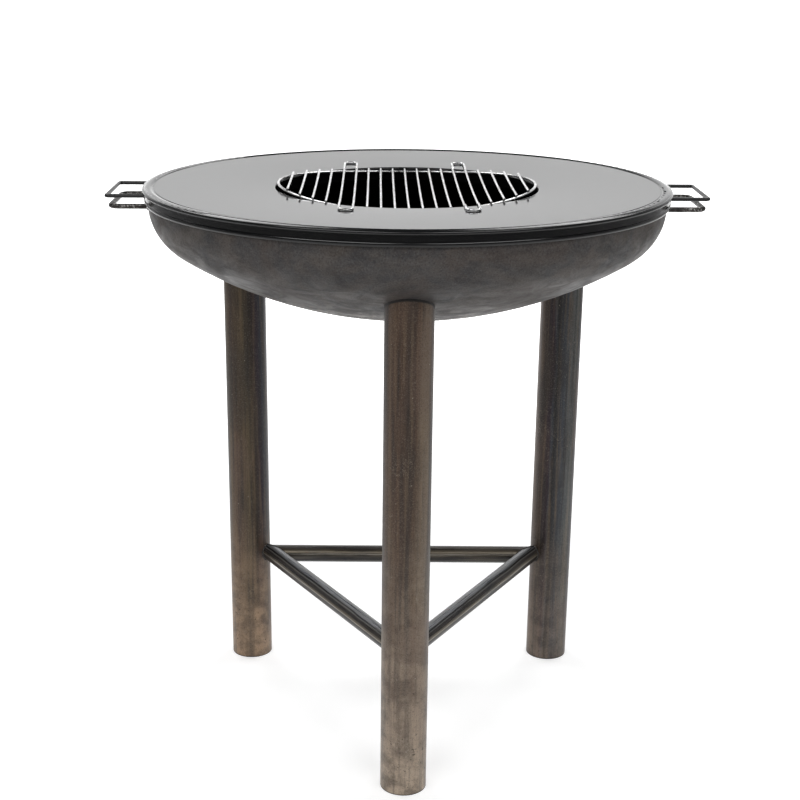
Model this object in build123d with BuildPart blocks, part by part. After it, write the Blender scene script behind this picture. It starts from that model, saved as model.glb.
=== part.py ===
from build123d import *
from math import asin, cos, radians, sin, sqrt
import os

os.makedirs("parts", exist_ok=True)

# A raised round grill: a dished steel fire bowl that rests on a three-legged tube stand, a loose
# enamelled cooking plate over the bowl's rim, and a loose wire grate in the plate's centre hole.
# Millimetres, +Z up. The origin is on the floor, on the bowl's axis, and one leg stands at -Y.

# Stand
leg_angles = {"leg_front": -90, "leg_rear_right": 30, "leg_rear_left": 150}
leg_circle = 312.5
leg_radius = 35.5
leg_wall = 3.0
seat_gap = 0.3
stretcher_ends = {"stretcher_right": (-90, 30), "stretcher_rear": (30, 150), "stretcher_left": (150, 270)}
stretcher_corner = 266.0
stretcher_height = 201.0
stretcher_radius = 15.0
stretcher_wall = 2.0
corner_half_angle = 60.0
cutter_height = 60.0

# Cooking plate; heights inside the plate are measured from its top
plate_top = 882.0
plate_sheet = 3.0
rim_radius = 410.0
rim_edge = 3.0
cooking_radius = 391.5
groove_width = 3.0
groove_depth = 0.8
crown_rise = 1.5
skirt_radius = 406.0
skirt_sheet = 2.5
skirt_depth = 22.0
hem_height = 6.5
hem_rise = 1.6
hole_radius = 205.0
hole_drop = 4.0
lip_depth = 24.0
lip_edge = 2.5

# Fire bowl: a short straight flange, a knuckle and a spherical crown
bowl_radius = 402.0
bowl_sheet = 3.0
bowl_rim = plate_top - plate_sheet
flange_height = 21.0
knuckle_radius = 84.0
crown_radius = 671.0

# Lifting handles, bent from round rod
plate_rod = 3.0
plate_rod_bend = 4.5
plate_handle_reach = 460.0
plate_handle_half_width = 65.0
plate_handle_height = plate_top - 11.5
bowl_rod = 4.0
bowl_rod_bend = 14.0
bowl_handle_reach = 455.5
bowl_handle_half_width = 61.0
bowl_handle_height = plate_top - 28.0
rod_root = 30.0

# Wire grate: its ring curves up towards both sides, and its bars sag a little between their ends
ring_radius = 200.0
ring_wire = 2.0
ring_middle = plate_top - 10.3
ring_rise = 12.0
ring_step = 15
bar_wire = 1.75
bar_pitch = 20.2
bars_each_side = 9
weld_sink = 0.2
bar_limit = 203.5
bar_curve = 6000.0
loop_bars = (4, 5)
loop_reach = 237.0
loop_level = plate_top - 1.05
loop_middle_run = 60.0
loop_climb = 9.0
loop_sweep = 2000.0
loop_kink = 10.0


def save(part, name):
    part.label = name
    export_step(part, f"parts/{name}.step")


def polar(radius, angle):
    return (radius * cos(radians(angle)), radius * sin(radians(angle)))


def dish(inset):
    """Section points (radius, height) of the bowl, from rim to bottom, this far inside its outside."""
    opening = asin((bowl_radius - knuckle_radius) / (crown_radius - knuckle_radius))
    turn = radians(90) - opening
    knuckle_x = bowl_radius - knuckle_radius
    knuckle_z = bowl_rim - flange_height
    crown_z = knuckle_z + (crown_radius - knuckle_radius) * cos(opening)
    knuckle = knuckle_radius - inset
    crown = crown_radius - inset
    rim = (bowl_radius - inset, bowl_rim)
    flange_end = (bowl_radius - inset, knuckle_z)
    knuckle_middle = (knuckle_x + knuckle * cos(turn / 2), knuckle_z - knuckle * sin(turn / 2))
    knuckle_end = (knuckle_x + knuckle * cos(turn), knuckle_z - knuckle * sin(turn))
    crown_middle = (crown * sin(opening / 2), crown_z - crown * cos(opening / 2))
    bottom = (0, crown_z - crown)
    return rim, flange_end, knuckle_middle, knuckle_end, crown_middle, bottom


def dish_line(inset):
    rim, flange_end, knuckle_middle, knuckle_end, crown_middle, bottom = dish(inset)
    Line(rim, flange_end)
    ThreePointArc(flange_end, knuckle_middle, knuckle_end)
    ThreePointArc(knuckle_end, crown_middle, bottom)
    return rim, bottom


# The space that the bowl fills, a seat gap larger, which shapes the tops of the legs
with BuildPart() as bowl_space:
    with BuildSketch(Plane.XZ):
        with BuildLine():
            space_rim, space_bottom = dish_line(-seat_gap)
            Polyline(space_rim, (0, bowl_rim), space_bottom)
        make_face()
    revolve(axis=Axis.Z)

# Legs: open tubes, coped at the top to the bowl's underside
for leg_name, leg_angle in leg_angles.items():
    with BuildPart() as leg:
        with BuildSketch():
            with Locations(polar(leg_circle, leg_angle)):
                Circle(leg_radius)
                Circle(leg_radius - leg_wall, mode=Mode.SUBTRACT)
        extrude(amount=bowl_rim - knuckle_radius)
        add(bowl_space.part, mode=Mode.SUBTRACT)
    save(leg.part, leg_name)

# Stretchers: tubes mitred to each other inside each leg and coped to its wall
for stretcher_name, (first_angle, second_angle) in stretcher_ends.items():
    middle = (first_angle + second_angle) / 2
    axis_point = polar(stretcher_corner * cos(radians(corner_half_angle)), middle)
    half_run = stretcher_corner * sin(radians(corner_half_angle)) + 2 * stretcher_radius
    with BuildPart() as stretcher:
        run_plane = Plane(
            origin=(*axis_point, stretcher_height),
            x_dir=(0, 0, 1),
            z_dir=(*polar(1, middle + 90), 0),
        )
        with BuildSketch(run_plane):
            Circle(stretcher_radius)
            Circle(stretcher_radius - stretcher_wall, mode=Mode.SUBTRACT)
        extrude(amount=half_run, both=True)
        split(bisect_by=Plane(origin=(0, 0, 0), z_dir=(*polar(1, first_angle + 90), 0)))
        split(bisect_by=Plane(origin=(0, 0, 0), z_dir=(*polar(1, second_angle - 90), 0)))
        first_leg = (*polar(leg_circle, first_angle), stretcher_height)
        second_leg = (*polar(leg_circle, second_angle), stretcher_height)
        with Locations(first_leg, second_leg):
            Cylinder(leg_radius, cutter_height, mode=Mode.SUBTRACT)
    save(stretcher.part, stretcher_name)

# Fire bowl
with BuildPart() as fire_bowl:
    with BuildSketch(Plane.XZ):
        with BuildLine():
            outer_rim, outer_bottom = dish_line(0)
            inner_rim, inner_bottom = dish_line(bowl_sheet)
            Line(outer_rim, inner_rim)
            Line(outer_bottom, inner_bottom)
        make_face()
    revolve(axis=Axis.Z)
save(fire_bowl.part, "fire_bowl")

# Cooking plate: a pressed sheet with a lip at its hole, a crowned rim, a skirt and a rolled hem
with BuildPart() as plancha_plate:
    hole_top = plate_top - hole_drop
    groove_end = cooking_radius + groove_width
    crown_end = rim_radius - rim_edge
    crown_middle = (groove_end + crown_end) / 2
    edge_bottom = plate_top - 2 * rim_edge
    skirt_bottom = plate_top - skirt_depth
    hem_top = skirt_bottom + hem_height
    lip_bottom = plate_top - lip_depth
    lip_back = hole_radius + lip_edge
    skirt_back = skirt_radius - skirt_sheet
    with BuildSketch(Plane.XZ):
        with BuildLine():
            Line((hole_radius, lip_bottom), (hole_radius, hole_top - lip_edge))
            RadiusArc((hole_radius, hole_top - lip_edge), (lip_back, hole_top), lip_edge)
            Line((lip_back, hole_top), (cooking_radius, plate_top))
            ThreePointArc(
                (cooking_radius, plate_top),
                (cooking_radius + groove_width / 2, plate_top - groove_depth),
                (groove_end, plate_top),
            )
            ThreePointArc(
                (groove_end, plate_top),
                (crown_middle, plate_top + crown_rise),
                (crown_end, plate_top),
            )
            ThreePointArc(
                (crown_end, plate_top),
                (rim_radius, plate_top - rim_edge),
                (crown_end, edge_bottom),
            )
            Polyline((crown_end, edge_bottom), (skirt_radius, edge_bottom), (skirt_radius, hem_top))
            ThreePointArc(
                (skirt_radius, hem_top),
                (skirt_radius + hem_rise, skirt_bottom + hem_height / 2),
                (skirt_radius, skirt_bottom),
            )
            Polyline(
                (skirt_radius, skirt_bottom),
                (skirt_back, skirt_bottom),
                (skirt_back, bowl_rim),
                (cooking_radius, bowl_rim),
                (lip_back, hole_top - plate_sheet),
                (lip_back, lip_bottom),
                (hole_radius, lip_bottom),
            )
        make_face()
    revolve(axis=Axis.Z)
save(plancha_plate.part, "plancha_plate")


def rod_path(side, root, reach, half_width, bend):
    near = side * (root - rod_root)
    far = side * reach
    FilletPolyline(
        (near, -half_width),
        (far, -half_width),
        (far, half_width),
        (near, half_width),
        radius=bend,
    )


# Handles: one on each side of the plate and of the bowl, butt-welded to the wall behind
for side, side_name in ((-1, "left"), (1, "right")):
    with BuildPart() as plancha_handle:
        with BuildLine(Plane.XY.offset(plate_handle_height)) as plate_path:
            rod_path(side, skirt_radius, plate_handle_reach, plate_handle_half_width, plate_rod_bend)
        with BuildSketch(Plane(origin=plate_path.line @ 0, z_dir=plate_path.line % 0)):
            Circle(plate_rod)
        sweep()
        with Locations((0, 0, plate_handle_height)):
            Cylinder(skirt_radius, cutter_height, mode=Mode.SUBTRACT)
    save(plancha_handle.part, f"plancha_handle_{side_name}")

    with BuildPart() as bowl_handle:
        with BuildLine(Plane.XY.offset(bowl_handle_height)) as bowl_path:
            rod_path(side, bowl_radius, bowl_handle_reach, bowl_handle_half_width, bowl_rod_bend)
        with BuildSketch(Plane(origin=bowl_path.line @ 0, z_dir=bowl_path.line % 0)):
            Circle(bowl_rod)
        sweep()
        with BuildSketch(Plane.XZ):
            with BuildLine():
                solid_rim, solid_bottom = dish_line(0)
                Polyline(solid_rim, (0, bowl_rim), solid_bottom)
            make_face()
        revolve(axis=Axis.Z, mode=Mode.SUBTRACT)
    save(bowl_handle.part, f"bowl_handle_{side_name}")


def ring_height(x):
    return ring_middle + ring_rise * (x / ring_radius) ** 2


def bar_heights(place):
    """Where a bar crosses the ring: its distance from the middle, and its height there and in the middle."""
    crossing = sqrt(ring_radius**2 - place**2)
    crossing_height = ring_height(place) + ring_wire + bar_wire - weld_sink
    sag = bar_curve - sqrt(bar_curve**2 - crossing**2)
    return crossing, crossing_height, crossing_height - sag


# Grate ring: one quarter, mirrored twice
with BuildPart() as grate_ring:
    ring_angles = [radians(angle) for angle in range(0, 91, ring_step)]
    with BuildLine() as ring_line:
        Spline(
            [
                (ring_radius * cos(angle), ring_radius * sin(angle), ring_height(ring_radius * cos(angle)))
                for angle in ring_angles
            ],
            tangents=((0, 1, 0), (-1, 0, 0)),
        )
    with BuildSketch(Plane(origin=ring_line.line @ 0, z_dir=ring_line.line % 0)):
        Circle(ring_wire)
    sweep()
    mirror(about=Plane.XZ)
    mirror(about=Plane.YZ)
save(grate_ring.part, "grate_ring")

# Grate loops: long closed loops that climb over the hole's edge and rest on the plate
for side, side_name in ((-1, "left"), (1, "right")):
    bend_radius = bar_pitch / 2
    bend_start = loop_reach - bend_radius
    with BuildPart() as grate_loop:
        for bar_count in loop_bars:
            place = side * bar_count * bar_pitch
            crossing, crossing_height, middle_height = bar_heights(place)
            with BuildLine(Plane.YZ.offset(place)) as wire_line:
                FilletPolyline(
                    (0, middle_height),
                    (loop_middle_run, middle_height),
                    (crossing + bar_wire, crossing_height),
                    (crossing + loop_climb, loop_level),
                    (bend_start, loop_level),
                    radius=[loop_sweep, loop_kink, loop_kink],
                )
            with BuildSketch(Plane(origin=wire_line.line @ 0, z_dir=wire_line.line % 0)):
                Circle(bar_wire)
            sweep()
        with BuildSketch(Plane(origin=wire_line.line @ 1, z_dir=wire_line.line % 1)):
            Circle(bar_wire)
        bend_centre = (place - side * bend_radius, bend_start, loop_level)
        revolve(axis=Axis(bend_centre, (0, 0, 1)), revolution_arc=180 * side)
        mirror(about=Plane.XZ)
    save(grate_loop.part, f"grate_loop_{side_name}")

# Grate bars: wires across the ring, each a shallow arc that rests on the ring at both ends
bar_counts = [count for count in range(-bars_each_side, bars_each_side + 1) if abs(count) not in loop_bars]
for number, bar_count in enumerate(bar_counts, start=1):
    place = bar_count * bar_pitch
    crossing, crossing_height, middle_height = bar_heights(place)
    tip = sqrt(bar_limit**2 - (abs(place) + bar_wire) ** 2)
    tip_height = middle_height + bar_curve - sqrt(bar_curve**2 - tip**2)
    with BuildPart() as grate_bar:
        with BuildLine(Plane.YZ.offset(place)) as bar_line:
            ThreePointArc((-tip, tip_height), (0, middle_height), (tip, tip_height))
        with BuildSketch(Plane(origin=bar_line.line @ 0, z_dir=bar_line.line % 0)):
            Circle(bar_wire)
        sweep()
    save(grate_bar.part, f"grate_bar_{number:02d}")
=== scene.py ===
import math
import random

import bmesh
import bpy
from mathutils import Matrix, Vector


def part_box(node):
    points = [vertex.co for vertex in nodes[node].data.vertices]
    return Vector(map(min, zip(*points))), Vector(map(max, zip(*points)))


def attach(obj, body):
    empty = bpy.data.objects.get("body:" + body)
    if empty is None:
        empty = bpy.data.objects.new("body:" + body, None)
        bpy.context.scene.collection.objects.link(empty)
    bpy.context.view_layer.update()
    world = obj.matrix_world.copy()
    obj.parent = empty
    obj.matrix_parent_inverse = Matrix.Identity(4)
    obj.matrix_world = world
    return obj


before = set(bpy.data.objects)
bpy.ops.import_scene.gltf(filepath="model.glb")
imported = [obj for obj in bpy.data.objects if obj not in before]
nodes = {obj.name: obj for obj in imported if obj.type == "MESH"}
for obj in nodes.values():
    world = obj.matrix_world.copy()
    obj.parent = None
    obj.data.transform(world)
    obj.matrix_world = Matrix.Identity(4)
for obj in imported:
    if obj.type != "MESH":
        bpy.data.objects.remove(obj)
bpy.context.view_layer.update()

# Lengths are in metres. Sizes and places come from the frame's own boxes, apart from the sizes here.
# WELD_RIPPLE, WELD_UNEVEN, WELD_ROUGH, WELD_END and WELD_END_GROWTH are shares of a bead's radius.
MILLIMETRE = 0.001
STRETCHER_WELD = 2.4 * MILLIMETRE
SEAM_WELD = 1.3 * MILLIMETRE
HANDLE_WELD = 1.6 * MILLIMETRE
WELD_PITCH = 2.6 * MILLIMETRE
WELD_SIDES = 12
WELD_RIPPLE = 0.14
WELD_UNEVEN = 0.05
WELD_ROUGH = (0.96, 1.04)
WELD_END = 0.35
WELD_END_GROWTH = 0.2
TUBE_STEPS = 72
ROD_STEPS = 32
SKIRT_INSET = 4 * MILLIMETRE
BOWL_CROWN = 0.671

random.seed(7)


# ---------------------------------------------------------------- node helpers


class Finish:
    """A material's node tree, with short calls for the nodes that the finishes share."""

    def __init__(self, name):
        self.material = bpy.data.materials.new(name)
        self.material.use_nodes = True
        self.tree = self.material.node_tree
        self.shader = self.tree.nodes["Principled BSDF"]
        self.place = self.tree.nodes.new("ShaderNodeTexCoord")

    def link(self, source, target):
        self.tree.links.new(source, target)

    def fill(self, socket, value):
        if isinstance(value, bpy.types.NodeSocket):
            self.link(value, socket)
        else:
            socket.default_value = value

    def math(self, operation, first, second=0.0):
        node = self.tree.nodes.new("ShaderNodeMath")
        node.operation = operation
        self.fill(node.inputs[0], first)
        self.fill(node.inputs[1], second)
        return node.outputs[0]

    def vector(self, operation, first, second, output="Vector"):
        node = self.tree.nodes.new("ShaderNodeVectorMath")
        node.operation = operation
        self.fill(node.inputs[0], first)
        self.fill(node.inputs[1], second)
        return node.outputs[output]

    def split(self, value):
        node = self.tree.nodes.new("ShaderNodeSeparateXYZ")
        self.link(value, node.inputs[0])
        return node.outputs

    def join(self, x, y, z):
        node = self.tree.nodes.new("ShaderNodeCombineXYZ")
        for socket, value in zip(node.inputs, (x, y, z)):
            self.fill(socket, value)
        return node.outputs[0]

    def stretched(self, place, scale):
        return self.vector("MULTIPLY", place, scale)

    def noise(self, place, scale, detail=4.0, roughness=0.55, distortion=0.0):
        node = self.tree.nodes.new("ShaderNodeTexNoise")
        self.fill(node.inputs["Vector"], place)
        node.inputs["Scale"].default_value = scale
        node.inputs["Detail"].default_value = detail
        node.inputs["Roughness"].default_value = roughness
        node.inputs["Distortion"].default_value = distortion
        return node.outputs["Fac"]

    def ramp(self, value, stops):
        """Colours against a value; each stop is (position, colour)."""
        node = self.tree.nodes.new("ShaderNodeValToRGB")
        elements = node.color_ramp.elements
        while len(elements) < len(stops):
            elements.new(0.5)
        for element, (position, colour) in zip(elements, stops):
            element.position = position
            element.color = colour
        self.fill(node.inputs[0], value)
        return node.outputs["Color"]

    def grey(self, value, low, high, at_low=0.0, at_high=1.0):
        """The value mapped from low..high to at_low..at_high, clamped."""
        node = self.tree.nodes.new("ShaderNodeMapRange")
        self.fill(node.inputs["Value"], value)
        node.inputs["From Min"].default_value = low
        node.inputs["From Max"].default_value = high
        node.inputs["To Min"].default_value = at_low
        node.inputs["To Max"].default_value = at_high
        return node.outputs["Result"]

    def mix(self, factor, first, second):
        node = self.tree.nodes.new("ShaderNodeMix")
        node.data_type = "RGBA"
        self.fill(node.inputs[0], factor)
        self.fill(node.inputs[6], first)
        self.fill(node.inputs[7], second)
        return node.outputs[2]

    def tint(self, colour, value, start, full, share, other):
        """The colour, mixed with other: not at all where value is start, and by share where it is full."""
        return self.mix(self.grey(value, start, full, 0.0, share), colour, other)

    def thin_lines(self, value, width):
        """1 where the value is 0.5, falling to 0 at width to either side."""
        away = self.math("ABSOLUTE", self.math("SUBTRACT", value, 0.5))
        return self.math("SUBTRACT", 1.0, self.grey(away, 0.0, width))

    def dot(self, first, second):
        return self.vector("DOT_PRODUCT", first, second, "Value")

    def length(self, value):
        return self.vector("LENGTH", value, (0.0, 0.0, 0.0), "Value")

    def bump(self, height, strength, distance):
        node = self.tree.nodes.new("ShaderNodeBump")
        node.inputs["Strength"].default_value = strength
        node.inputs["Distance"].default_value = distance
        self.fill(node.inputs["Height"], height)
        self.link(node.outputs["Normal"], self.shader.inputs["Normal"])

    def set(self, **values):
        for name, value in values.items():
            self.fill(self.shader.inputs[name.replace("_", " ")], value)


def box_middle(name):
    """The middle of a node's box, and half its size."""
    low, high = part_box(name)
    return (low + high) / 2, (high - low) / 2


def rgb(red, green, blue):
    """A colour given in the 0-255 screen scale, as linear light."""

    def linear(value):
        share = value / 255
        return share / 12.92 if share <= 0.04045 else ((share + 0.055) / 1.055) ** 2.4

    return (linear(red), linear(green), linear(blue), 1.0)


# ---------------------------------------------------------------- finishes


def enamel(name, roughness):
    """Gloss black vitreous enamel, with a faint orange-peel ripple and fine dust."""
    finish = Finish(name)
    place = finish.place.outputs["Object"]
    cloud = finish.noise(place, 9.0, detail=5.0)
    speck = finish.noise(place, 420.0, detail=2.0)
    dust = finish.grey(speck, 0.68, 0.8)
    colour = finish.mix(cloud, rgb(5, 5, 6), rgb(11, 11, 12))
    colour = finish.mix(finish.math("MULTIPLY", dust, 0.25), colour, rgb(95, 94, 92))
    ripple = finish.noise(place, 130.0, detail=2.0)

    # The glaze is duller over edges and upright faces than on the flat top
    upright = finish.grey(finish.split(finish.place.outputs["Normal"])[2], 0.995, 0.93)
    smooth = finish.grey(cloud, 0.3, 0.7, roughness * 0.7, roughness * 1.3)
    finish.set(
        Base_Color=colour,
        Roughness=finish.math("ADD", smooth, finish.math("MULTIPLY", upright, 0.1)),
        IOR=1.45,
    )
    finish.bump(ripple, 0.04, 0.0006)
    return finish.material


def bowl_steel():
    """Spun raw steel: mottled grey-brown scale outside, soot and painted shade inside."""
    finish = Finish("raw_bowl_steel")
    bowl_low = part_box("fire_bowl")[0].z
    place = finish.place.outputs["Object"]
    cloud = finish.noise(place, 4.2, detail=6.0, roughness=0.6, distortion=0.6)
    mottle = finish.noise(place, 38.0, detail=5.0, roughness=0.65)
    grain = finish.noise(place, 420.0, detail=3.0, roughness=0.7)
    colour = finish.ramp(cloud, [
        (0.3, rgb(56, 57, 60)), (0.42, rgb(73, 66, 62)), (0.49, rgb(62, 61, 62)), (0.56, rgb(76, 69, 64)),
        (0.63, rgb(63, 62, 64)), (0.74, rgb(70, 64, 60)),
    ])
    swirl_place = finish.stretched(place, (1.0, 1.0, 2.2))
    swirl = finish.noise(swirl_place, 21.0, detail=6.0, roughness=0.7, distortion=0.8)
    colour = finish.tint(colour, swirl, 0.5, 0.68, 0.45, rgb(88, 83, 80))
    colour = finish.tint(colour, swirl, 0.48, 0.34, 0.35, rgb(40, 38, 39))
    colour = finish.tint(colour, mottle, 0.45, 0.66, 0.45, rgb(86, 80, 75))
    colour = finish.tint(colour, grain, 0.52, 0.68, 0.45, rgb(94, 93, 93))
    colour = finish.tint(colour, grain, 0.47, 0.33, 0.55, rgb(30, 29, 30))

    # The underside is darker towards the bottom, and its lowest part is paler in small flecks: worn metal,
    # and a painted reflection of the pale floor along the bowl's lower edge
    darker_low = finish.grey(finish.split(place)[2], bowl_low + 0.2, bowl_low + 0.04, 0.0, 0.45)
    colour = finish.mix(darker_low, colour, rgb(30, 28, 27))
    depth = finish.grey(finish.split(place)[2], bowl_low + 0.075, bowl_low + 0.02)
    fleck_place = finish.stretched(place, (1.0, 1.0, 3.0))
    flecks = finish.noise(fleck_place, 90.0, detail=5.0, roughness=0.7, distortion=0.6)
    # The pale flecks are partly worn metal and partly a painted reflection of the pale floor
    pale_flecks_and_floor_sheen = finish.math("MULTIPLY", depth, finish.grey(flecks, 0.44, 0.6, 0.0, 0.85))
    pale_flecks_and_floor_sheen = finish.math("MULTIPLY", pale_flecks_and_floor_sheen, finish.grey(swirl, 0.42, 0.56, 0.2, 1.0))
    colour = finish.mix(pale_flecks_and_floor_sheen, colour, rgb(138, 127, 116))

    # Faint scratches that run mostly round the bowl
    scratch_place = finish.stretched(place, (1.0, 1.0, 7.0))
    scratches = finish.noise(scratch_place, 46.0, detail=2.0, distortion=3.5)
    thin = finish.thin_lines(scratches, 0.006)
    patches = finish.grey(finish.noise(place, 7.0), 0.56, 0.66)
    marks = finish.math("MULTIPLY", finish.math("MULTIPLY", thin, patches), 0.4)
    colour = finish.mix(marks, colour, rgb(160, 152, 144))

    # The inside faces the middle of the bowl's mouth, the outside faces away from it
    mouth = (0.0, 0.0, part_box("fire_bowl")[1].z)
    outward = finish.dot(finish.vector("SUBTRACT", place, mouth), finish.place.outputs["Normal"])
    outside = finish.grey(outward, -0.01, 0.01)
    # Inside, near black: soot, and painted shade in the hollow of the bowl
    soot_and_shade = finish.mix(mottle, rgb(18, 17, 16), rgb(38, 36, 34))
    colour = finish.mix(outside, soot_and_shade, colour)
    finish.set(
        Base_Color=colour,
        Metallic=finish.grey(outside, 0.0, 1.0, 0.0, 0.22),
        Specular_IOR_Level=0.25,
        Roughness=finish.grey(swirl, 0.36, 0.64, 0.62, 0.4),
    )
    relief = finish.math("ADD", finish.math("MULTIPLY", mottle, 0.6), finish.math("MULTIPLY", grain, 0.4))
    finish.bump(relief, 0.22, 0.0006)
    return finish.material


def scaled(colour, share):
    """The same colour, with its linear light times share."""
    return tuple(value * share for value in colour[:3]) + (1.0,)


def tube_angle(finish, place, centre):
    """Where a point is round a standing tube (0 back, 0.5 front, 0.75 right), and how high it is."""
    local = finish.split(finish.vector("SUBTRACT", place, (centre.x, centre.y, 0.0)))
    angle = finish.math("ARCTAN2", local[0], finish.math("MULTIPLY", local[1], -1.0))
    return finish.math("ADD", finish.math("DIVIDE", angle, 2 * math.pi), 0.5), local[2]


def leg_steel(name, centre, bands, foot_top, foot_share, foot_colour, seed):
    """Mill-scaled tube: bands of painted studio reflection run along it over the scale's own browns and
    olives, and it is paler towards the foot.
    """
    finish = Finish(name)
    place = finish.place.outputs["Object"]
    around, height = tube_angle(finish, place, centre)
    shifted = finish.vector("ADD", place, (seed, 2 * seed, 3 * seed))
    wander = finish.noise(finish.stretched(shifted, (1.0, 1.0, 0.35)), 7.0, detail=3.0)
    wandering = finish.math("ADD", around, finish.grey(wander, 0.3, 0.7, -0.035, 0.035))
    # The bands round the tube are painted reflections of the studio, laid over the brown and olive of the
    # mill scale
    colour = finish.ramp(wandering, bands)

    streaks = finish.noise(finish.stretched(shifted, (1.0, 1.0, 0.03)), 150.0, detail=5.0, roughness=0.6)
    colour = finish.tint(colour, streaks, 0.5, 0.66, 0.5, rgb(112, 94, 74))
    colour = finish.tint(colour, streaks, 0.49, 0.34, 0.75, rgb(27, 22, 20))
    cloud = finish.noise(finish.stretched(shifted, (1.0, 1.0, 0.4)), 11.0, detail=5.0, distortion=0.5)
    colour = finish.tint(colour, cloud, 0.52, 0.66, 0.5, rgb(92, 74, 64))
    colour = finish.tint(colour, cloud, 0.48, 0.34, 0.55, rgb(42, 36, 30))

    # The foot: paler, speckled with small dark pits
    foot = finish.grey(finish.math("ADD", height, finish.grey(cloud, 0.3, 0.7, -0.08, 0.08)), foot_top, 0.02)
    blotch = finish.noise(shifted, 34.0, detail=5.0, roughness=0.65)
    paler_foot = finish.mix(finish.grey(blotch, 0.4, 0.6), scaled(foot_colour, 0.45), scaled(foot_colour, 1.1))
    paler_foot = finish.mix(finish.grey(streaks, 0.5, 0.35, 0.0, 0.6), paler_foot, scaled(foot_colour, 0.3))
    colour = finish.mix(finish.math("MULTIPLY", foot, foot_share), colour, paler_foot)
    grain = finish.noise(shifted, 520.0, detail=3.0, roughness=0.7)
    colour = finish.tint(colour, grain, 0.53, 0.7, 0.4, rgb(124, 116, 108))
    colour = finish.tint(colour, grain, 0.47, 0.33, 0.5, rgb(30, 26, 23))
    pits = finish.grey(finish.noise(shifted, 170.0, detail=1.0), 0.7, 0.74)
    pitted = finish.math("MULTIPLY", pits, finish.math("MULTIPLY", foot, 0.8))
    colour = finish.mix(pitted, colour, rgb(38, 33, 30))
    chip_place = finish.vector("ADD", shifted, (4.0, 4.0, 4.0))
    chips = finish.grey(finish.noise(chip_place, 260.0, detail=1.0), 0.79, 0.82)
    colour = finish.mix(finish.math("MULTIPLY", chips, 0.7), colour, rgb(170, 160, 146))

    # A few fine scratches
    scratches = finish.noise(finish.stretched(shifted, (1.0, 1.0, 0.45)), 38.0, detail=2.0, distortion=3.0)
    thin = finish.thin_lines(scratches, 0.008)
    scratched = finish.math("MULTIPLY", thin, finish.grey(finish.noise(shifted, 9.0), 0.5, 0.62, 0.0, 0.45))
    colour = finish.mix(scratched, colour, rgb(168, 156, 140))

    # A dark line round the sawn foot, and a painted contact shadow along the coped edge just below the bowl
    colour = finish.tint(colour, height, 2.2 * MILLIMETRE, 0.8 * MILLIMETRE, 0.85, rgb(24, 21, 19))
    crown_centre = (0.0, 0.0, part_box("fire_bowl")[0].z + BOWL_CROWN)
    from_crown = finish.length(finish.vector("SUBTRACT", place, crown_centre))
    painted_contact_shadow = finish.grey(from_crown, BOWL_CROWN + 2.2 * MILLIMETRE, BOWL_CROWN + 4.0 * MILLIMETRE, 0.95, 0.0)
    colour = finish.mix(painted_contact_shadow, colour, rgb(16, 14, 13))

    # Inside the tube it is dark
    axis_place = finish.join(finish.split(place)[0], finish.split(place)[1], 0.0)
    outward = finish.vector("SUBTRACT", axis_place, (centre.x, centre.y, 0.0))
    outward = finish.dot(outward, finish.place.outputs["Normal"])
    colour = finish.mix(finish.grey(outward, -0.002, 0.002), rgb(30, 27, 25), colour)
    finish.set(
        Base_Color=colour,
        Metallic=0.35,
        Roughness=finish.grey(streaks, 0.3, 0.7, 0.34, 0.52),
    )
    relief = finish.math("ADD", finish.math("MULTIPLY", grain, 0.5), finish.math("MULTIPLY", streaks, 0.5))
    finish.bump(relief, 0.16, 0.0004)
    return finish.material


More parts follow.
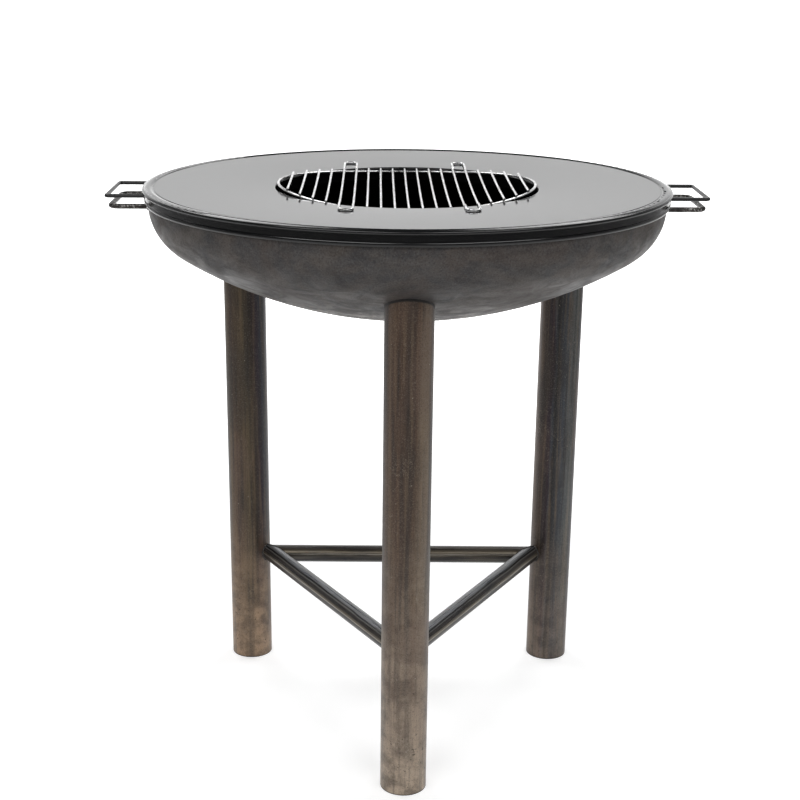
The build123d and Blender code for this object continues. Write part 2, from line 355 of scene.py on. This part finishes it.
def stretcher_steel(node, direction, seed):
    """Dark cold-drawn tube: shiny, with painted highlight and reflection lines and real streaks along it,
    and a few rusty patches.
    """
    finish = Finish(f"{node}_scale")
    place = finish.place.outputs["Object"]
    shifted = finish.vector("ADD", place, (seed, 2 * seed, 3 * seed))
    side = Vector((-direction.y, direction.x, 0.0))
    middle = box_middle(node)[0]
    along = finish.dot(shifted, tuple(direction))
    across = finish.dot(finish.vector("SUBTRACT", place, tuple(middle)), tuple(side))
    rise = finish.math("SUBTRACT", finish.split(place)[2], middle.z)

    # Painted highlight and reflection lines run along it, over the scale's own dark colour: 0.5 is its top,
    # and 0.75 the side that faces the front
    around = finish.math("ARCTAN2", finish.math("MULTIPLY", across, -1.0), rise)
    around = finish.math("ADD", finish.math("DIVIDE", around, 2 * math.pi), 0.5)
    wander = finish.noise(finish.join(along, 0.0, 0.0), 9.0, detail=2.0)
    around = finish.math("ADD", around, finish.grey(wander, 0.3, 0.7, -0.012, 0.012))
    colour = finish.ramp(around, [
        (0.3, rgb(40, 40, 42)), (0.385, rgb(78, 79, 82)), (0.41, rgb(128, 130, 133)),
        (0.47, rgb(104, 106, 110)), (0.484, rgb(14, 13, 14)), (0.5, rgb(16, 15, 16)),
        (0.515, rgb(124, 124, 122)), (0.535, rgb(66, 62, 60)), (0.59, rgb(58, 54, 52)),
        (0.64, rgb(92, 84, 70)), (0.685, rgb(96, 88, 76)), (0.7, rgb(170, 164, 154)),
        (0.72, rgb(76, 70, 62)), (0.76, rgb(26, 25, 25)),
    ])
    local = finish.join(finish.math("MULTIPLY", along, 0.03), across, rise)
    streaks = finish.noise(local, 230.0, detail=5.0, roughness=0.6)
    cloud = finish.noise(finish.join(finish.math("MULTIPLY", along, 0.5), across, rise), 20.0, detail=5.0)
    grain = finish.noise(shifted, 600.0, detail=3.0, roughness=0.7)
    colour = finish.tint(colour, streaks, 0.5, 0.7, 0.5, rgb(98, 92, 84))
    colour = finish.tint(colour, streaks, 0.48, 0.32, 0.6, rgb(24, 23, 24))
    colour = finish.tint(colour, cloud, 0.5, 0.7, 0.4, rgb(74, 68, 58))
    colour = finish.tint(colour, cloud, 0.45, 0.3, 0.4, rgb(40, 44, 50))
    colour = finish.tint(colour, grain, 0.57, 0.74, 0.35, rgb(118, 110, 100))
    rust = finish.grey(finish.noise(shifted, 13.0, detail=3.0, distortion=1.0), 0.68, 0.76)
    colour = finish.mix(finish.math("MULTIPLY", rust, 0.7), colour, rgb(104, 52, 40))
    finish.set(
        Base_Color=colour,
        Metallic=0.55,
        Roughness=finish.grey(streaks, 0.3, 0.7, 0.22, 0.4),
    )
    finish.bump(streaks, 0.12, 0.0003)
    return finish.material


def rod_steel():
    """Hot-rolled rod: dark, with scattered bright scuffs."""
    finish = Finish("raw_rod_steel")
    place = finish.place.outputs["Object"]
    cloud = finish.noise(place, 60.0, detail=5.0)
    scuff = finish.noise(place, 330.0, detail=3.0, roughness=0.65)
    colour = finish.mix(finish.grey(cloud, 0.35, 0.65), rgb(30, 28, 27), rgb(70, 66, 63))
    worn = finish.math("MULTIPLY", finish.grey(scuff, 0.52, 0.64), finish.grey(cloud, 0.42, 0.6))
    colour = finish.mix(finish.math("MULTIPLY", worn, 0.8), colour, rgb(205, 203, 200))
    finish.set(Base_Color=colour, Metallic=0.7, Roughness=finish.grey(scuff, 0.3, 0.7, 0.28, 0.5))
    finish.bump(scuff, 0.25, 0.0004)
    return finish.material


def weld_steel(name, low, high, roughness):
    """Weld metal: dark, rippled, with bright spatter."""
    finish = Finish(name)
    place = finish.place.outputs["Object"]
    cloud = finish.noise(place, 240.0, detail=4.0)
    bright = finish.grey(finish.noise(place, 520.0, detail=2.0), 0.6, 0.7)
    colour = finish.mix(cloud, low, high)
    colour = finish.mix(finish.math("MULTIPLY", bright, 0.5), colour, rgb(170, 162, 152))
    finish.set(
        Base_Color=colour,
        Metallic=0.5,
        Roughness=finish.grey(cloud, 0.3, 0.7, roughness, roughness * 1.6),
    )
    finish.bump(cloud, 0.3, 0.0005)
    return finish.material


def chrome():
    """Chromed wire, with a little haze and a faint warm tint in places."""
    finish = Finish("chromed_wire")
    place = finish.place.outputs["Object"]
    haze = finish.noise(place, 70.0, detail=4.0)
    fine = finish.noise(place, 700.0, detail=2.0)
    colour = finish.mix(finish.grey(haze, 0.35, 0.65), rgb(228, 228, 230), rgb(192, 191, 189))
    finish.set(Base_Color=colour, Metallic=1.0, Roughness=finish.grey(haze, 0.3, 0.7, 0.16, 0.3))
    finish.bump(fine, 0.08, 0.0002)
    return finish.material


# ---------------------------------------------------------------- mesh helpers


def mesh_piece(name, body, material, build):
    mesh = bpy.data.meshes.new(name)
    work = bmesh.new()
    build(work)
    bmesh.ops.recalc_face_normals(work, faces=work.faces)
    for face in work.faces:
        face.smooth = True
    work.to_mesh(mesh)
    work.free()
    piece = bpy.data.objects.new(name, mesh)
    bpy.context.scene.collection.objects.link(piece)
    mesh.materials.append(material)
    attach(piece, body)


def resampled(path, closed, step):
    """The path's points again, evenly spaced at about step."""
    points = list(path) + ([path[0]] if closed else [])
    lengths = [0.0]
    for first, second in zip(points, points[1:]):
        lengths.append(lengths[-1] + (second - first).length)
    count = max(4, round(lengths[-1] / step))
    result = []
    index = 0
    for number in range(count if closed else count + 1):
        target = lengths[-1] * number / count
        while index < len(lengths) - 2 and lengths[index + 1] < target:
            index += 1
        run = lengths[index + 1] - lengths[index]
        share = (target - lengths[index]) / run if run else 0.0
        result.append(points[index].lerp(points[index + 1], share))
    return result


def add_bead(work, path, radius, closed=False):
    """A weld bead along path: a round section that swells at each ripple of the weld."""
    step = WELD_PITCH / 4
    points = resampled(path, closed, step)
    count = len(points)
    tangents = []
    for number in range(count):
        before = points[number - 1] if closed or number else points[0]
        after = points[(number + 1) % count] if closed or number < count - 1 else points[-1]
        tangents.append((after - before).normalized())
    normal = tangents[0].orthogonal().normalized()
    rings = []
    for number, (point, tangent) in enumerate(zip(points, tangents)):
        normal = (normal - tangent * normal.dot(tangent)).normalized()
        binormal = tangent.cross(normal)
        wave = math.sin(2 * math.pi * number * step / WELD_PITCH)
        ripple = 1.0 + WELD_RIPPLE * wave + random.uniform(-WELD_UNEVEN, WELD_UNEVEN)
        from_end = min(number, count - 1 - number)
        end = 1.0 if closed else min(1.0, WELD_END + WELD_END_GROWTH * from_end)
        ring = []
        for side in range(WELD_SIDES):
            angle = 2 * math.pi * side / WELD_SIDES
            reach = radius * ripple * end * random.uniform(*WELD_ROUGH)
            spoke = normal * math.cos(angle) + binormal * math.sin(angle)
            ring.append(work.verts.new(point + spoke * reach))
        rings.append(ring)
    pairs = list(zip(rings, rings[1:]))
    if closed:
        offset = closest_turn(rings[-1], rings[0])
        pairs.append((rings[-1], rings[0][offset:] + rings[0][:offset]))
    else:
        work.faces.new(rings[0])
        work.faces.new(rings[-1])
    for first, second in pairs:
        for side in range(WELD_SIDES):
            following = (side + 1) % WELD_SIDES
            work.faces.new((first[side], first[following], second[following], second[side]))


def closest_turn(ring, other):
    """How far other has to be turned for its first vertex to lie beside ring's."""
    return min(range(len(other)), key=lambda turn: (other[turn].co - ring[0].co).length)


# ---------------------------------------------------------------- weld beads


def stretcher_welds(material):
    """A bead round each stretcher's ends, and one along the mitre where two stretchers meet."""
    rear_middle, rear_half = box_middle("stretcher_rear")
    tube_radius = rear_half.z
    distance = rear_middle.y
    height = rear_middle.z
    leg_half = box_middle("leg_front")[1].x
    leg_names = ("leg_front", "leg_rear_right", "leg_rear_left")
    stretchers = (
        ("stretcher_right", "leg_front", "leg_rear_right"),
        ("stretcher_rear", "leg_rear_right", "leg_rear_left"),
        ("stretcher_left", "leg_rear_left", "leg_front"),
    )
    flat = {name: Vector(box_middle(name)[0][:2]) for name in leg_names}
    turns = [2 * math.pi * step / TUBE_STEPS for step in range(TUBE_STEPS)]
    for name, first_leg, second_leg in stretchers:
        outward = (flat[first_leg] + flat[second_leg]).normalized()
        axis_point = outward * distance
        direction = (flat[second_leg] - flat[first_leg]).normalized()
        for leg, heading in ((first_leg, -direction), (second_leg, direction)):
            leg_centre = flat[leg]
            kept = []
            for turn in turns:
                start = axis_point + outward * tube_radius * math.cos(turn)
                gap = start - leg_centre
                half = gap.dot(heading)
                inside = half * half - gap.length_squared + leg_half * leg_half
                point = start + heading * (-half - math.sqrt(max(inside, 0.0)))
                side = leg_centre.x * point.y - leg_centre.y * point.x
                own = leg_centre.x * axis_point.y - leg_centre.y * axis_point.x
                if inside > 0.0 and side * own > 0.0:
                    kept.append(Vector((point.x, point.y, height + tube_radius * math.sin(turn))))
                else:
                    kept.append(None)
            path = longest_run(kept)
            end_name = leg.replace("leg_", "")
            mesh_piece(
                f"{name}_weld_{end_name}",
                "stand",
                material,
                lambda work, path=path: add_bead(work, path, STRETCHER_WELD),
            )
    for leg in leg_names:
        leg_centre = flat[leg]
        along = leg_centre.normalized()
        neighbour = next(s for s in stretchers if s[1] == leg)
        outward = (flat[neighbour[1]] + flat[neighbour[2]]).normalized()
        direction = (flat[neighbour[2]] - flat[neighbour[1]]).normalized()
        cross_direction = along.x * direction.y - along.y * direction.x
        seam = []
        for turn in turns:
            start = outward * (distance + tube_radius * math.cos(turn))
            reach = -(along.x * start.y - along.y * start.x) / cross_direction
            point = start + direction * reach
            if (point - leg_centre).length > leg_half:
                seam.append(Vector((point.x, point.y, height + tube_radius * math.sin(turn))))
            else:
                seam.append(None)
        path = longest_run(seam)
        mesh_piece(
            f"stretcher_seam_{leg.replace('leg_', '')}",
            "stand",
            material,
            lambda work, path=path: add_bead(work, path, SEAM_WELD),
        )


def longest_run(points):
    """The longest unbroken run in a closed list where None marks a gap."""
    doubled = points + points
    best = []
    run = []
    for point in doubled:
        if point is None:
            run = []
        else:
            run.append(point)
        if len(run) > len(best):
            best = list(run)
        if len(run) == len(points):
            break
    return best


def handle_welds(kind, body, wall_radius, material):
    """A bead round each foot of both handles, where the rod meets the wall."""
    for side_name, side in (("left", -1), ("right", 1)):
        middle, half = box_middle(f"{kind}_handle_{side_name}")
        rod = half.z
        spread = half.y - rod
        for arm_name, arm in (("front", -spread), ("rear", spread)):
            ring = []
            for step in range(ROD_STEPS):
                turn = 2 * math.pi * step / ROD_STEPS
                across = arm + rod * math.cos(turn)
                out = math.sqrt(wall_radius**2 - across**2)
                ring.append(Vector((side * out, across, middle.z + rod * math.sin(turn))))
            mesh_piece(
                f"{kind}_weld_{side_name}_{arm_name}",
                body,
                material,
                lambda work, ring=ring: add_bead(work, ring, HANDLE_WELD, closed=True),
            )


# ---------------------------------------------------------------- dress the frame


def dress(prefix, material):
    for name, node in nodes.items():
        if name.startswith(prefix):
            node.data.materials.clear()
            node.data.materials.append(material)


dress("plancha_plate", enamel("black_enamel", 0.09))
dress("plancha_handle", enamel("enamelled_rod", 0.22))
dress("fire_bowl", bowl_steel())
dress("bowl_handle", rod_steel())
dress("grate_", chrome())

olive = rgb(78, 65, 44)
brown = rgb(76, 57, 43)
dark_brown = rgb(48, 37, 30)
violet = rgb(40, 26, 38)
dark_blue = rgb(36, 42, 54)
blue_grey = rgb(54, 60, 68)
steel_grey = rgb(88, 90, 88)
pale_brown = rgb(106, 92, 77)
black_line = rgb(20, 19, 20)

# For each leg: its bands of painted studio reflection over the mill scale, how high the paler foot reaches,
# how strong the paling is, and its colour
LEGS = {
    "leg_front": (
        [
            (0.0, dark_brown), (0.255, steel_grey), (0.29, dark_brown), (0.36, brown), (0.45, brown),
            (0.52, dark_brown), (0.57, brown), (0.61, pale_brown), (0.67, pale_brown), (0.69, dark_brown),
            (0.73, steel_grey), (0.8, olive), (1.0, brown),
        ],
        0.42, 0.8, rgb(176, 159, 140),
    ),
    "leg_rear_left": (
        [
            (0.0, dark_brown), (0.255, steel_grey), (0.285, blue_grey), (0.31, olive), (0.4, brown),
            (0.5, olive), (0.56, dark_brown), (0.6, violet), (0.64, dark_blue), (0.68, black_line),
            (0.715, dark_blue), (0.745, steel_grey), (1.0, brown),
        ],
        0.28, 0.75, rgb(160, 134, 108),
    ),
    "leg_rear_right": (
        [
            (0.0, brown), (0.26, dark_brown), (0.31, brown), (0.39, dark_brown), (0.44, violet),
            (0.455, blue_grey), (0.47, black_line), (0.53, blue_grey), (0.61, steel_grey),
            (0.645, black_line), (0.68, blue_grey), (0.74, black_line), (1.0, dark_brown),
        ],
        0.2, 0.5, rgb(128, 112, 98),
    ),
}
for number, (leg_name, (bands, foot_top, foot_share, foot_colour)) in enumerate(LEGS.items()):
    leg_finish = leg_steel(
        f"{leg_name}_scale", box_middle(leg_name)[0], bands, foot_top, foot_share, foot_colour, 1.7 * number
    )
    dress(leg_name, leg_finish)

STRETCHER_TURNS = {"stretcher_rear": 0.0, "stretcher_right": 60.0, "stretcher_left": -60.0}
for number, (stretcher_name, turn) in enumerate(STRETCHER_TURNS.items()):
    heading = Vector((math.cos(math.radians(turn)), math.sin(math.radians(turn)), 0.0))
    dress(stretcher_name, stretcher_steel(stretcher_name, heading, 1.3 * number))

stretcher_welds(weld_steel("stretcher_weld", rgb(24, 23, 24), rgb(58, 55, 52), 0.25))
handle_welds(
    "plancha", "plancha", box_middle("plancha_plate")[1].x - SKIRT_INSET,
    weld_steel("enamelled_weld", rgb(9, 9, 10), rgb(22, 22, 23), 0.16),
)
handle_welds(
    "bowl", "bowl", box_middle("fire_bowl")[1].x,
    weld_steel("bowl_weld", rgb(28, 27, 27), rgb(70, 67, 64), 0.3),
)


# ---------------------------------------------------------------- studio


BACKDROP_GLOW = 1.25
FLOOR_GLOW = 0.48
FLOOR_RADIUS = 6.2
FLOOR_RINGS = (0.0, 0.5, 1.0, 2.0, 3.5, 5.0, FLOOR_RADIUS)
COVE = 0.8
COVE_STEPS = 12
WALL_TOP = 3.6
SWEEP_STEPS = 96
LIT_POINT = Vector((0.0, 0.0, 0.5))
WORLD_COLOUR = (0.9, 0.95, 1.0, 1.0)
WORLD_GLOW = 0.06


def studio_sweep():
    """A round pale floor that curves up into a wall."""
    profile = [(radius, 0.0) for radius in FLOOR_RINGS]
    for step in range(1, COVE_STEPS + 1):
        turn = math.radians(90 * step / COVE_STEPS)
        profile.append((FLOOR_RADIUS + COVE * math.sin(turn), COVE - COVE * math.cos(turn)))
    profile.append((FLOOR_RADIUS + COVE, WALL_TOP))

    work = bmesh.new()
    centre = work.verts.new((0.0, 0.0, 0.0))
    rings = []
    for radius, height in profile[1:]:
        ring = []
        for step in range(SWEEP_STEPS):
            turn = 2 * math.pi * step / SWEEP_STEPS
            ring.append(work.verts.new((radius * math.cos(turn), radius * math.sin(turn), height)))
        rings.append(ring)
    for step in range(SWEEP_STEPS):
        following = (step + 1) % SWEEP_STEPS
        work.faces.new((centre, rings[0][step], rings[0][following]))
        for inner, outer in zip(rings, rings[1:]):
            work.faces.new((inner[step], outer[step], outer[following], inner[following]))
    for face in work.faces:
        face.smooth = True
    mesh = bpy.data.meshes.new("studio_sweep")
    work.to_mesh(mesh)
    work.free()
    sweep = bpy.data.objects.new("studio_sweep", mesh)
    bpy.context.scene.collection.objects.link(sweep)

    finish = Finish("studio_paper")
    place = finish.place.outputs["Object"]
    paper = finish.mix(finish.noise(place, 3.0), rgb(218, 218, 218), rgb(223, 223, 223))
    ahead = finish.math("MULTIPLY", finish.split(place)[1], -1.0)
    paper = finish.mix(finish.grey(ahead, 1.6, 4.0), paper, rgb(165, 165, 165))
    distance = finish.length(finish.vector("MULTIPLY", place, (1.0, 1.0, 0.0)))
    facing = finish.math("DIVIDE", finish.split(place)[1], finish.math("ADD", distance, 0.01))
    rear = finish.math("MULTIPLY", finish.grey(facing, 0.72, 0.92), finish.grey(distance, 0.6, 3.0))
    rear = finish.math("MULTIPLY", rear, finish.grey(finish.split(place)[2], 1.1, 1.8, 1.0, 0.42))
    near = finish.grey(distance, 1.4, 3.6, FLOOR_GLOW, 0.04)
    glow = finish.math("ADD", finish.math("MULTIPLY", rear, BACKDROP_GLOW), near)
    finish.set(
        Base_Color=paper,
        Roughness=0.9,
        Emission_Color=rgb(255, 255, 255),
        Emission_Strength=glow,
    )
    mesh.materials.append(finish.material)


def softbox(name, azimuth, elevation, distance, width, height, power):
    """An area light that looks at the middle of the object; azimuth 0 is in front, positive to the right."""
    turn = math.radians(azimuth)
    rise = math.radians(elevation)
    back = Vector((math.sin(turn) * math.cos(rise), -math.cos(turn) * math.cos(rise), math.sin(rise)))
    light = bpy.data.lights.new(name, "AREA")
    light.shape = "RECTANGLE"
    light.size = width
    light.size_y = height
    light.energy = power
    lamp = bpy.data.objects.new(name, light)
    lamp.location = LIT_POINT + back * distance
    lamp.rotation_mode = "QUATERNION"
    lamp.rotation_quaternion = back.to_track_quat("Z", "Y")
    bpy.context.scene.collection.objects.link(lamp)


studio_sweep()
softbox("front_left_box", azimuth=-32, elevation=42, distance=3.6, width=2.6, height=1.0, power=46)
softbox("front_right_box", azimuth=34, elevation=42, distance=3.6, width=2.6, height=1.0, power=42)
softbox("back_left_box", azimuth=-140, elevation=48, distance=3.8, width=2.2, height=1.4, power=52)
softbox("back_right_box", azimuth=140, elevation=48, distance=3.8, width=2.2, height=1.4, power=52)

world = bpy.data.worlds.new("studio")
world.use_nodes = True
background = world.node_tree.nodes["Background"]
background.inputs["Color"].default_value = WORLD_COLOUR
background.inputs["Strength"].default_value = WORLD_GLOW
bpy.context.scene.world = world
bpy.context.scene.view_settings.view_transform = "Standard"


# ---------------------------------------------------------------- camera

CAMERA_PLACE = Vector((-0.0472, -2.3717, 1.2426))
CAMERA_YAW = math.radians(-0.078)
CAMERA_PITCH = math.radians(18.853)
CAMERA_ROLL = math.radians(-0.349)
CAMERA_LENS = 67.96
CAMERA_SHIFT = (0.034, 0.069)
SENSOR_WIDTH = 36.0


def camera():
    forward = Vector((
        math.sin(CAMERA_YAW) * math.cos(CAMERA_PITCH),
        math.cos(CAMERA_YAW) * math.cos(CAMERA_PITCH),
        -math.sin(CAMERA_PITCH),
    ))
    level = Vector((math.cos(CAMERA_YAW), -math.sin(CAMERA_YAW), 0.0))
    down = forward.cross(level)
    right = level * math.cos(CAMERA_ROLL) + down * math.sin(CAMERA_ROLL)
    up = level * math.sin(CAMERA_ROLL) - down * math.cos(CAMERA_ROLL)
    turn = Matrix((right, up, -forward)).transposed()
    data = bpy.data.cameras.new("camera")
    data.sensor_width = SENSOR_WIDTH
    data.lens = CAMERA_LENS
    data.shift_x, data.shift_y = CAMERA_SHIFT
    holder = bpy.data.objects.new("camera", data)
    holder.rotation_mode = "QUATERNION"
    holder.rotation_quaternion = turn.to_quaternion()
    holder.location = CAMERA_PLACE
    bpy.context.scene.collection.objects.link(holder)
    bpy.context.scene.camera = holder


camera()
